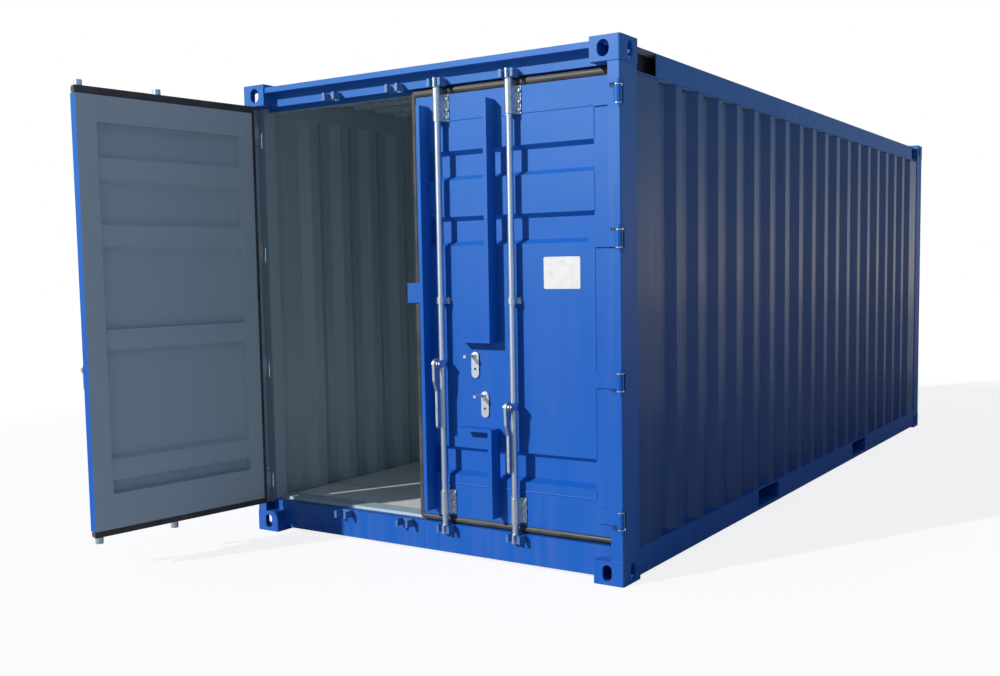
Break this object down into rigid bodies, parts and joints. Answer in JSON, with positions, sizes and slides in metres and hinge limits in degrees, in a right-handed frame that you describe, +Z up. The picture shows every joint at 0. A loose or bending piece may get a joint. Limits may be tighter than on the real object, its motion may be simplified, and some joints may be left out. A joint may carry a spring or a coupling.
{
  "type": "shipping container",
  "caption": "Corrugated steel freight container with hinged double end doors, vertical lock rods with drop handles, corner castings and forklift pockets.",
  "frame": {"origin": "on the ground plane under the castings, at the centre of the four bottom twistlock slots", "axes": "+X to the right hand door's side, +Y from the door end to the closed end, +Z up"},
  "size_m": [2.6119, 7.1589, 2.591],
  "materials": {
    "blue_paint": "satin blue paint",
    "galvanised": "hot dip galvanised",
    "rubber_seal": "weathered black rubber",
    "deck_board": "grey painted plywood",
    "dark_underframe": "dark underbody coating"
  },
  "bodies": {
    "container": {"bottom_corner_castings": "blue_paint", "top_corner_castings": "blue_paint", "right_front_post": "blue_paint", "left_front_post": "blue_paint", "rear_posts": "blue_paint", "door_header": "blue_paint", "door_sill": "blue_paint", "rear_header": "blue_paint", "rear_sill": "blue_paint", "top_side_rails": "blue_paint", "bottom_side_rails": "blue_paint", "right_side_wall": "blue_paint", "left_side_wall": "blue_paint", "rear_wall": "blue_paint", "roof": "blue_paint", "floor_deck": "deck_board", "floor_beams": "dark_underframe", "forklift_pockets": "blue_paint", "header_keepers": "blue_paint", "sill_keepers": "blue_paint", "right_hinge_lugs": "blue_paint", "left_hinge_lugs": "blue_paint"},
    "right_door": {"right_leaf_frame": "blue_paint", "right_leaf_panel": "blue_paint", "right_gasket": "rubber_seal", "right_hinge_blades": "blue_paint", "right_snag_guards": "blue_paint", "right_rod_brackets": "galvanised", "right_handle_catches": "galvanised", "right_overlap_tab": "blue_paint"},
    "right_inner_rod": {"right_inner_rod": "galvanised"},
    "right_outer_rod": {"right_outer_rod": "galvanised"},
    "right_inner_handle": {"right_inner_handle": "galvanised"},
    "right_outer_handle": {"right_outer_handle": "galvanised"},
    "left_door": {"left_leaf_frame": "blue_paint", "left_leaf_panel": "blue_paint", "left_gasket": "rubber_seal", "left_hinge_blades": "blue_paint", "left_snag_guards": "blue_paint", "left_rod_brackets": "galvanised", "left_handle_catches": "galvanised"},
    "left_inner_rod": {"left_inner_rod": "galvanised"},
    "left_outer_rod": {"left_outer_rod": "galvanised"},
    "left_inner_handle": {"left_inner_handle": "galvanised"},
    "left_outer_handle": {"left_outer_handle": "galvanised"}
  },
  "joints": [
    {"name": "right_door_hinge", "type": "hinge", "parent": "container", "child": "right_door", "pos_m": [1.193, -3.005, 1.3], "axis": [0, 0, 1], "range_deg": [0, 260]},
    {"name": "left_door_hinge", "type": "hinge", "parent": "container", "child": "left_door", "pos_m": [-1.193, -3.005, 1.3], "axis": [0, 0, -1], "range_deg": [-97.5, 162.5]},
    {"name": "right_inner_rod_turn", "type": "hinge", "parent": "right_door", "child": "right_inner_rod", "pos_m": [0.139, -2.985, 1.3], "axis": [0, 0, 1], "range_deg": [-20, 90]},
    {"name": "right_inner_handle_lift", "type": "hinge", "parent": "right_inner_rod", "child": "right_inner_handle", "pos_m": [0.139, -3.037, 1.03398], "axis": [-1, 0, 0], "range_deg": [0, 90]},
    {"name": "right_outer_rod_turn", "type": "hinge", "parent": "right_door", "child": "right_outer_rod", "pos_m": [0.581, -2.985, 1.3], "axis": [0, 0, -1], "range_deg": [-20, 90]},
    {"name": "right_outer_handle_lift", "type": "hinge", "parent": "right_outer_rod", "child": "right_outer_handle", "pos_m": [0.581, -3.037, 0.83003], "axis": [-1, 0, 0], "range_deg": [0, 90]},
    {"name": "left_inner_rod_turn", "type": "hinge", "parent": "left_door", "child": "left_inner_rod", "pos_m": [-1.31075, -4.05259, 1.3], "axis": [0, 0, -1], "range_deg": [-20, 90]},
    {"name": "left_inner_handle_lift", "type": "hinge", "parent": "left_inner_rod", "child": "left_inner_handle", "pos_m": [-1.3623, -4.04581, 1.03398], "axis": [0.1305, 0.9914, 0], "range_deg": [0, 90]},
    {"name": "left_outer_rod_turn", "type": "hinge", "parent": "left_door", "child": "left_outer_rod", "pos_m": [-1.25305, -3.61437, 1.3], "axis": [0, 0, 1], "range_deg": [-20, 90]},
    {"name": "left_outer_handle_lift", "type": "hinge", "parent": "left_outer_rod", "child": "left_outer_handle", "pos_m": [-1.30461, -3.60759, 0.83003], "axis": [0.1305, 0.9914, 0], "range_deg": [0, 90]}
  ]
}
